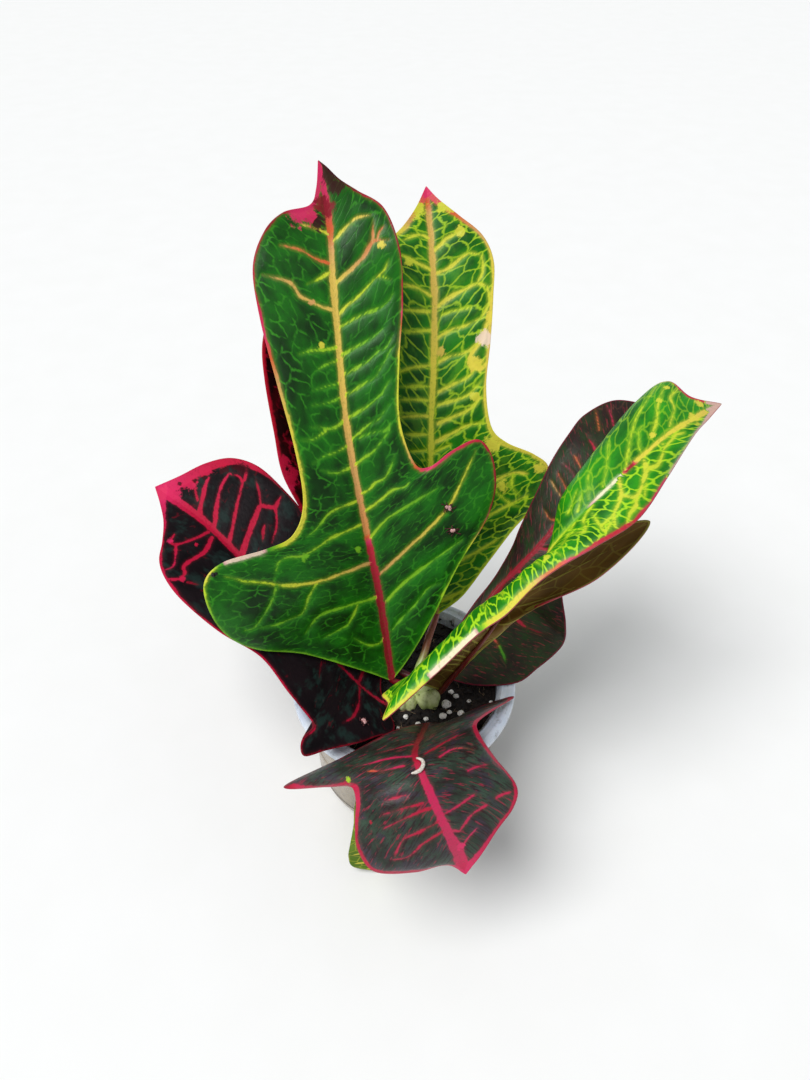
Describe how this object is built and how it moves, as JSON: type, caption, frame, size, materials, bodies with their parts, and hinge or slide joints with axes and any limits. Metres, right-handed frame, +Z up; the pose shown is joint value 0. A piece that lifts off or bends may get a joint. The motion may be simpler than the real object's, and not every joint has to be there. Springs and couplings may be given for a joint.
{
  "type": "potted plant",
  "caption": "Potted croton: large lobed painted leaves on a short stem, growing from dark soil in a round white plastic nursery tub.",
  "frame": {"origin": "middle of the tub's flat foot, on the surface it stands on", "axes": "+Z up, -Y towards the side that the picture shows, +X to its right"},
  "size_m": [0.2574, 0.2149, 0.2492],
  "materials": {
    "tub": "smooth white plastic, blue-grey in the light, lightly scuffed",
    "soil": "dark moist potting soil with pale fibres",
    "stem": "pale green, matte, with ring scars",
    "leaf_green": "waxy deep green, crimson and orange midrib, yellow veins",
    "leaf_lime": "waxy green with a lime-yellow vein net, cream midrib, red margin",
    "leaf_lime_folded": "waxy lime green with a yellow net, crimson margin, brown underside",
    "leaf_purple": "waxy near-black purple with crimson veins",
    "leaf_maroon": "waxy dark maroon with a crimson margin",
    "leaf_grey_green": "waxy dark grey-green with a red midrib",
    "leaf_crimson": "waxy grey-green and maroon with a broad crimson midrib and margin",
    "leaf_low": "dull green with yellow veins, brown where dried",
    "perlite": "chalky white grains",
    "dried_flower": "dry maroon streaks round a pale pink middle",
    "white_curl": "dry white tissue",
    "dark_speck": "dark dry crumb"
  },
  "bodies": {
    "root": {"tub": "tub", "soil": "soil", "stem": "stem", "leaf_front_green": "leaf_green", "leaf_back_green": "leaf_lime", "leaf_right_folded": "leaf_lime_folded", "leaf_left_dark": "leaf_purple", "leaf_back_left_dark": "leaf_maroon", "leaf_right_dark": "leaf_grey_green", "leaf_front_crimson": "leaf_crimson", "leaf_low_front": "leaf_low", "white_curl": "white_curl", "dark_speck": "dark_speck", "perlite_1": "perlite", "perlite_2": "perlite", "perlite_3": "perlite", "perlite_4": "perlite", "perlite_5": "perlite", "perlite_6": "perlite", "perlite_7": "perlite", "perlite_8": "perlite", "perlite_9": "perlite", "perlite_10": "perlite", "perlite_11": "perlite", "perlite_12": "perlite", "dried_flower_1": "dried_flower", "dried_flower_2": "dried_flower", "dried_flower_3": "dried_flower"}
  },
  "joints": []
}
